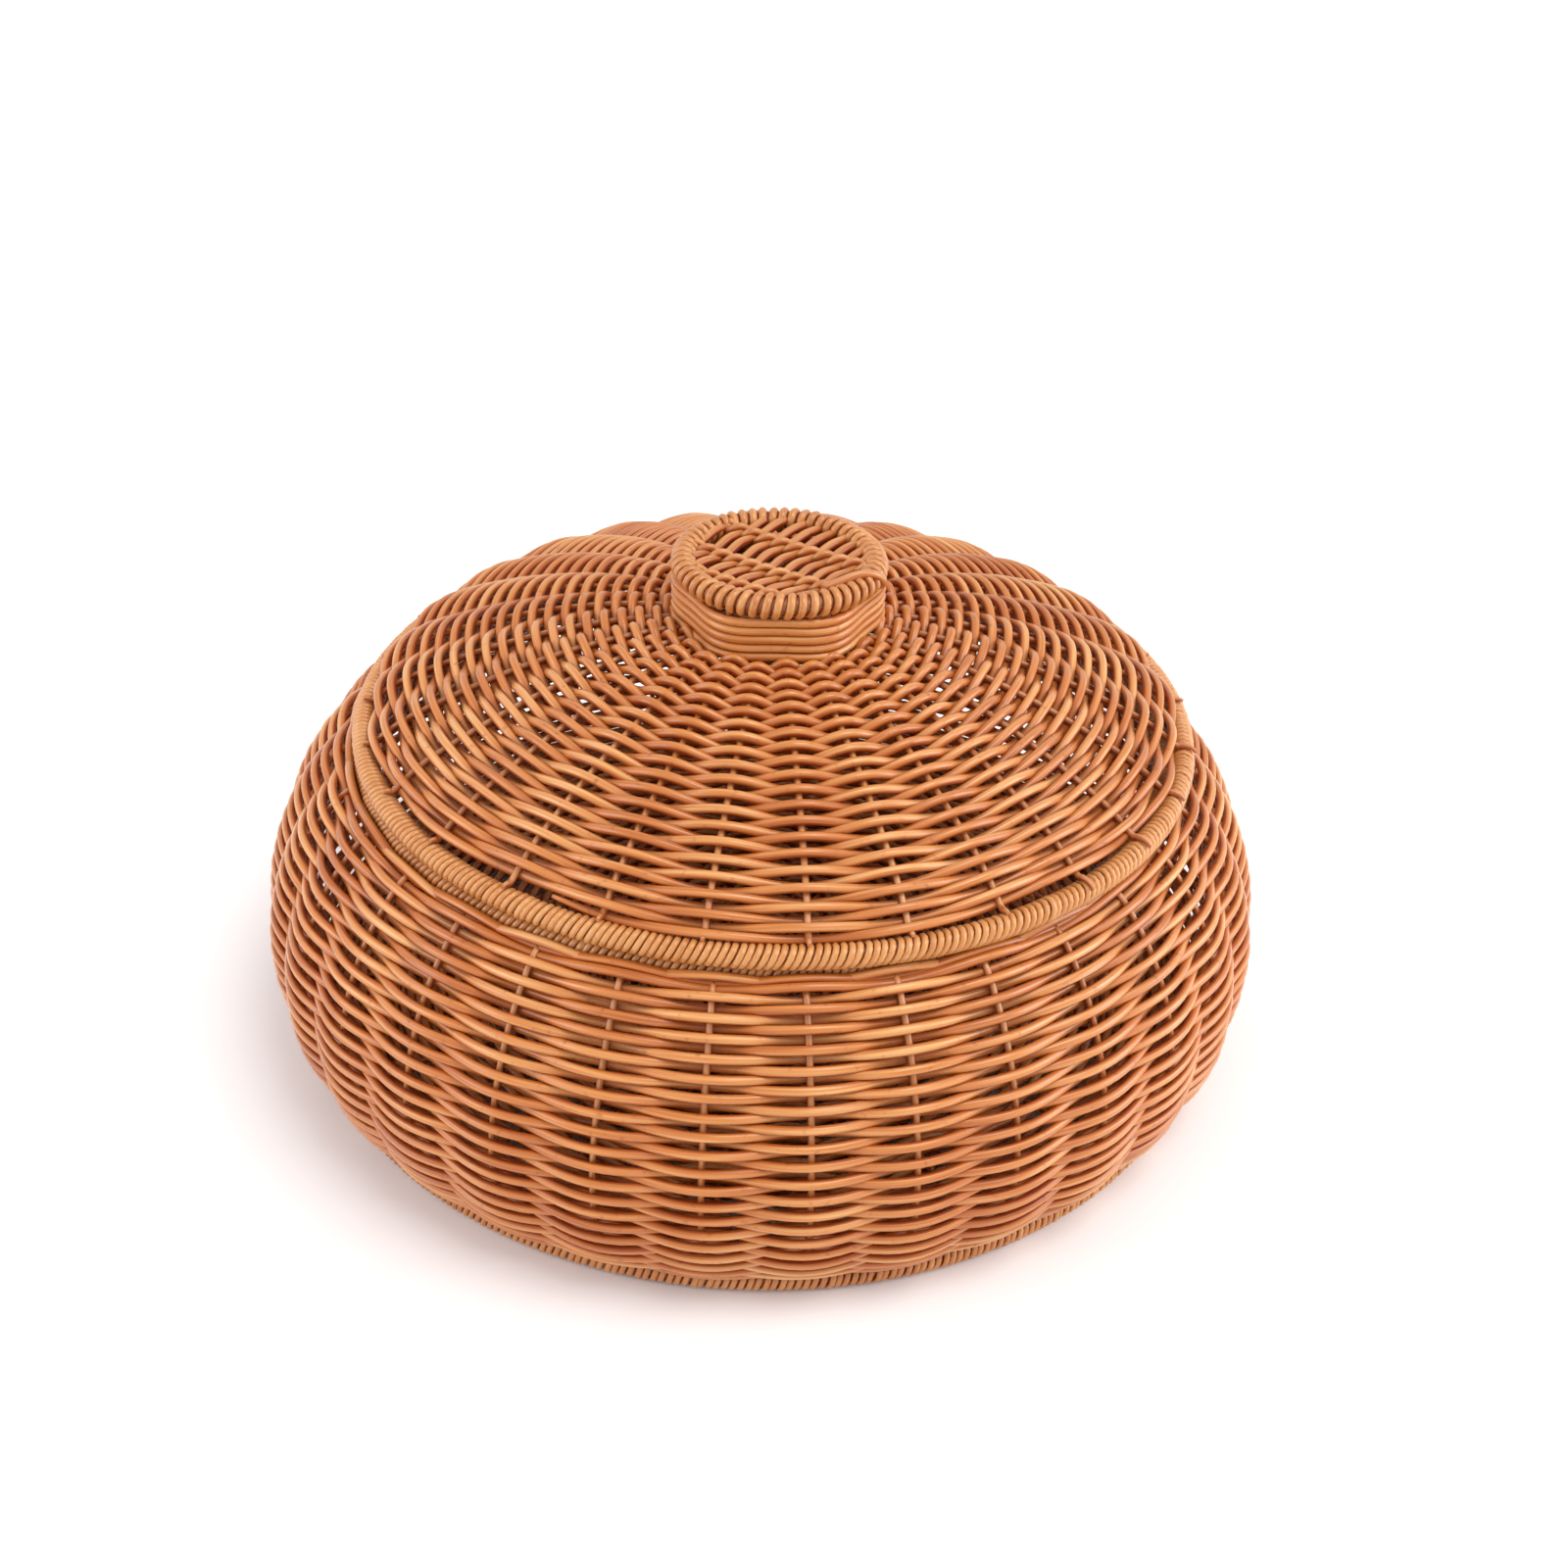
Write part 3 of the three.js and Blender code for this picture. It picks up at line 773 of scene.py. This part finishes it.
def lid_cane_lines(quarter, cross_rise):
    """Centre lines of one bundle of ribs: over the crossing, straight out to the neck, down the dome, and
    over the ring in an arc that runs further round it on the right."""
    halves = []
    for sign in (1, -1):
        turn = (rib_fan if sign == 1 else np.pi - rib_fan) + quarter + lid_turn
        runs = rib_turn(turn[:, None], rib_length[None])
        on_right = np.clip((np.cos(turn - right_side) - 0.84) / 0.06, 0, 1)
        last = np.radians(ring_leave - (ring_leave - ring_leave_right) * on_right)
        bow = np.radians(ring_meet) + (last[:, None] - np.radians(ring_meet)) * np.linspace(0, 1, 6)
        on_ring = lid_ring_radius + over_ring * np.cos(bow)
        radius = np.concatenate([np.tile(rib_radius, (rib_bundle, 1)), on_ring], 1)
        height = np.concatenate([np.tile(rib_height, (rib_bundle, 1)), over_ring * np.sin(bow)], 1)
        outer = np.stack([radius * np.cos(runs), radius * np.sin(runs), height], -1)
        start = np.stack([np.full(rib_bundle, rib_cross * sign), rib_lane * lane_pitch], 1)
        cos, sin = math.cos(quarter + lid_turn), math.sin(quarter + lid_turn)
        start = start @ np.array([[cos, sin], [-sin, cos]])
        run = start[:, None] + rib_flat[None, :, None] * (outer[:, :1, :2] - start[:, None])
        drop = rib_height[0] + cross_rise * np.clip(1 - rib_flat / 0.5, 0, 1)
        inner = np.concatenate([run, np.broadcast_to(drop, run.shape[:2])[..., None]], -1)
        halves.append(np.concatenate([inner, outer], 1))
    return np.concatenate([halves[1][:, ::-1], halves[0]], 1)


rib_lines = on_basket(np.concatenate([lid_cane_lines(0, rib_crossing_rise), lid_cane_lines(np.pi / 2, 0)]))
upward = np.array([0, 0, 1.0])
rib_up = np.broadcast_to(upward, rib_lines.shape)
rib_tones = np.random.default_rng(15).uniform(0.2, 1, (2 * rib_bundle, 1))
from_end = np.minimum(np.arange(rib_lines.shape[1]), np.arange(rib_lines.shape[1])[::-1])
rib_thickness = np.broadcast_to(np.clip(0.6 + 0.08 * from_end, 0, 1), rib_lines.shape[:2])
lid_canes = cane_piece("lid_canes", rib_lines, rib_up, round_section(stake_radius, 8), rib_tones, stake_cane,
                       rib_thickness, depth=0.35)
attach(lid_canes, "lid")
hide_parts(*[f"lid_cane_{i:02d}" for i in range(1, 15)])


# Lid weave.
# Two weavers of the same cane, wound in a spiral over and under the ribs between the neck and the ring. They
# are not tied to the ring: the ribs hold them.
lid_start = math.radians(-118.5)
edge_calm_run = 7 * mm
edge_lie_out = 0.3 * mm
end_gap_turn = math.radians(-122)
end_gap_lift = 1.7 * mm
end_gap_power = 110
right_gap_turn = math.radians(-53)
right_gap_lift = 2.2 * mm
right_gap_power = 80
gap_reach = 20 * mm


def calm_edge(turn, length):
    """Close above the ring the weavers swing less. In two places at the front the rows are lifted off the
    ring and leave a short gap, at the weaver's end and on the right: each lift is a narrow hump round the
    lid, a raised cosine to a high power, and fades out evenly up the dome."""
    near = np.clip(1 - length / edge_calm_run, 0, 1)
    at_end = ((1 + np.cos(turn - end_gap_turn)) / 2) ** end_gap_power
    on_right = ((1 + np.cos(turn - right_gap_turn)) / 2) ** right_gap_power
    lift = end_gap_lift * at_end + right_gap_lift * on_right
    return 0.5 * near, edge_lie_out * near, lift * np.clip(1 - length / gap_reach, 0, 1)


lid_first = 2.0 * mm
lid_rows = int((dome_length - lid_first - 1.6 * mm) / row_pitch)
for which, name in enumerate(("lid_weaver_a", "lid_weaver_b")):
    points, outward, thickness, depth = spiral_weaver(
        dome, lid_first, lid_rows, row_pitch, which, rib_count, lid_turn, rib_turn,
        lid_start, seed=80 + which, per_stake=10, calm=calm_edge)
    tone = lengths_tone(points, cane_length=2.9, seed=91 + which)
    climbed = np.linspace(0, 1, len(points))
    thickness = thickness * (1 + 0.07 * np.clip(2 * climbed - 0.5, 0, 1))
    moved = on_basket(points)
    lid_weaver = cane_piece(name, moved[None], (on_basket(points + outward * mm) - moved)[None],
                            round_section(weaver_radius, 8, weaver_spread), tone[None], weaver_cane,
                            thickness[None], depth[None])
    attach(lid_weaver, "lid")
    if which == 0:
        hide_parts("lid_weave")


# Lid ring.
# The heavier hoop at the lid's edge, wound closely with thin cane. It holds the ends of the ribs and lies on
# the rim's ring.
lid_hoop = hoop("lid_hoop_cane", lid_ring_radius, 0, size=2.45 * mm, body="lid", put=on_basket)
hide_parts("lid_hoop")
lid_wrapping = winding("lid_winding", lid_ring_radius, 0, core=2.5 * mm, wraps=360, width=2.1 * mm,
                       thick=1.2 * mm, body="lid", seed=71, put=on_basket)
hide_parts("lid_wrapping")


# Neck band.
# One cane wound five times round six short posts under the knob, drawn straight between them. The lowest turn
# lies a little apart, on the dome.
neck_cane_radius = 1.4 * mm
neck_low = 34.4 * mm
neck_pitch = 2.76 * mm
neck_turns = 4.9
neck_steps = 360
neck_start = math.radians(100)
low_turn_spread = 0.5 * mm
low_turn_drop = 0.1 * mm
post_count = 6
post_places = np.arange(post_count) * 2 * np.pi / post_count
corner_share = 0.62  # how much of the band's outline is the six-sided one, the rest is a circle


def neck_corner(turn):
    """How far the band stands from the middle, as a share of the corners' distance: straight lines between
    six rounded corners, the cosine of half a side's turn over the cosine of the turn from its middle."""
    share = 0.5 * np.sin(np.pi * ((turn / (np.pi / 3)) % 1 - 0.5))
    straight = math.cos(np.pi / 6) / np.cos(share * np.pi / 3)
    return corner_share * straight + 1 - corner_share


neck_turn = np.linspace(0, 2 * np.pi * neck_turns, neck_steps + 1) + neck_start
neck_out = neck_radius * neck_corner(neck_turn)
neck_count = (neck_turn - neck_turn[0]) / (2 * np.pi)
neck_out = neck_out + low_turn_spread * np.clip(1.3 - neck_count, 0, 1)
neck_height = neck_low + neck_pitch * neck_count - low_turn_drop * np.clip(1.2 - neck_count, 0, 1)
neck_points = np.stack([neck_out * np.cos(neck_turn), neck_out * np.sin(neck_turn), neck_height], -1)
neck_face = np.stack([np.cos(neck_turn), np.sin(neck_turn), np.zeros_like(neck_turn)], -1)
neck_tone = lengths_tone(neck_points, cane_length=0.2, seed=95)[None] * 0.3 + 0.35
neck_band = cane_piece("neck_band_cane", on_basket(neck_points)[None], neck_face[None],
                       round_section(neck_cane_radius, 10), neck_tone, weaver_cane)
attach(neck_band, "lid")
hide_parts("neck_band")


# Knob posts.
# Short upright canes inside the band, tied into the lid's crossing and carrying the knob's hoop.
post_radius = 1.25 * mm
post_low = 31.0 * mm
post_high = 49.2 * mm
post_inset = 3.0 * mm  # from the middle of the band's cane to the middle of a post
post_rise = np.linspace(post_low, post_high, 6)
post_ways = np.stack([np.cos(post_places), np.sin(post_places), np.zeros(post_count)], -1)
post_lines = (neck_radius - post_inset) * post_ways[:, None] + post_rise[:, None] * upward
post_face = np.broadcast_to(post_ways[:, None], post_lines.shape)
knob_posts = cane_piece("knob_posts", on_basket(post_lines), post_face, round_section(post_radius, 8),
                        np.linspace(0.2, 0.8, post_count)[:, None], stake_cane)
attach(knob_posts, "lid")
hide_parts(*[f"knob_post_{i}" for i in range(1, 7)])


# Knob ring.
# A small hoop of heavier cane on top of the posts, wound with half-round cane whose wraps lie close together
# inside the ring and spread outside it.
knob_ring_radius = 28.8 * mm
knob_ring_height = 52.1 * mm
knob_hoop = hoop("knob_hoop_cane", knob_ring_radius, knob_ring_height, size=2.6 * mm, body="lid",
                 put=on_basket)
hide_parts("knob_hoop")
knob_wrapping = winding("knob_winding", knob_ring_radius, knob_ring_height, core=2.65 * mm, wraps=55,
                        width=2.8 * mm, thick=1.45 * mm, body="lid", seed=73, put=on_basket, slant=0,
                        tone=0.12, crevice=0.4)
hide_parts("knob_wrapping")

# The winding's end is laid along the inside of the ring on the right, then over it, and tucked in below: a
# point that goes along the ring evenly and round its section slowly at first and fast at the end, while it
# draws in towards the hoop.
tail_radius = 1.35 * mm
tail_share = np.linspace(0, 1, 25)
tail_turn = np.radians(-60 + 46 * tail_share)
tail_spin = np.radians(145 - 50 * tail_share - 170 * tail_share ** 4)
tail_lift = 4.5 * mm - 1.1 * mm * tail_share ** 3
tail_out = knob_ring_radius + tail_lift * np.cos(tail_spin)
tail_points = np.stack([tail_out * np.cos(tail_turn), tail_out * np.sin(tail_turn),
                        knob_ring_height + tail_lift * np.sin(tail_spin)], -1)
tail_face = np.stack([np.cos(tail_spin) * np.cos(tail_turn), np.cos(tail_spin) * np.sin(tail_turn),
                      np.sin(tail_spin)], -1)
knob_tail = cane_piece("knob_winding_end", on_basket(tail_points)[None], tail_face[None],
                       round_section(tail_radius, 8), tone=0.3, material=wrap_cane, crevice=0.3)
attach(knob_tail, "lid")


# Knob disc.
# Round canes laid one way inside the knob's ring, slightly dished, and held by three pairs of thinner strands
# that run the other way and twist round them from cane to cane.
disc_heading = math.radians(52)
cross_heading = math.radians(148)
disc_reach = 26.8 * mm
disc_dish = 1.1 * mm
disc_sink = 0.4 * mm  # the disc's middle lies this far under the middle of the ring's section
disc_cane_radius = 1.5 * mm
disc_snake = 0.45 * mm
disc_snake_run = 31 * mm
disc_swing = 0.6 * mm
strand_radius = 1.3 * mm
strand_aside = 1.5 * mm
strand_swing = 1.75 * mm
disc_pitch = 5.1 * mm
disc_count = 11
disc_places = (np.arange(disc_count) - (disc_count - 1) / 2) * disc_pitch
cross_places = np.array([22, 8, -9.5]) * mm
cross_step = cross_places[1] - cross_places[2]


def disc_lines(places, heading, aside, swing):
    """Canes across a circle, each at its own distance from the middle, dished by the square of the distance
    out, and moved aside and up by two functions of the way along."""
    half = np.sqrt(disc_reach ** 2 - places ** 2)
    along = np.linspace(-1, 1, 61) * half[:, None]
    beside = places[:, None] + aside(along)
    dish = disc_dish * (along ** 2 + beside ** 2) / disc_reach ** 2
    x = along * math.cos(heading) - beside * math.sin(heading)
    y = along * math.sin(heading) + beside * math.cos(heading)
    return np.stack([x, y, knob_ring_height - disc_sink + dish + swing(along)], -1)


disc_chance = np.random.default_rng(97)
disc_bow = disc_chance.normal(0, 0.35, (disc_count, 1)) * mm
disc_canes = disc_lines(
    disc_places, disc_heading,
    aside=lambda along: disc_bow + disc_snake * np.sin(2 * np.pi * along / disc_snake_run + 0.5),
    swing=lambda along: -disc_swing * np.cos(2 * np.pi * (along + cross_places[1]) / cross_step))
disc_up = np.broadcast_to(upward, disc_canes.shape)
knob_disc = cane_piece("knob_disc_canes", on_basket(disc_canes), disc_up, round_section(disc_cane_radius, 8),
                       disc_chance.uniform(0, 0.6, (disc_count, 1)), wrap_cane, depth=0.3, crevice=0.8)
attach(knob_disc, "lid")
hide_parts("knob_disc_weave")

# The two strands of a pair are half a twist apart, and pass each disc cane one above and one below.
cross_canes = np.concatenate([disc_lines(
    cross_places, cross_heading,
    aside=lambda along: side * strand_aside * np.sin(np.pi * along / disc_pitch),
    swing=lambda along: side * strand_swing * np.cos(np.pi * along / disc_pitch)) for side in (1, -1)])
strand_up = np.broadcast_to(upward, cross_canes.shape)
knob_cross = cane_piece("knob_cross_canes", on_basket(cross_canes), strand_up,
                        round_section(strand_radius, 8),
                        disc_chance.uniform(0, 0.6, (len(cross_canes), 1)), wrap_cane)
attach(knob_cross, "lid")
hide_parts("knob_cross_cane_1", "knob_cross_cane_2", "knob_cross_cane_3")


bpy.context.view_layer.update()
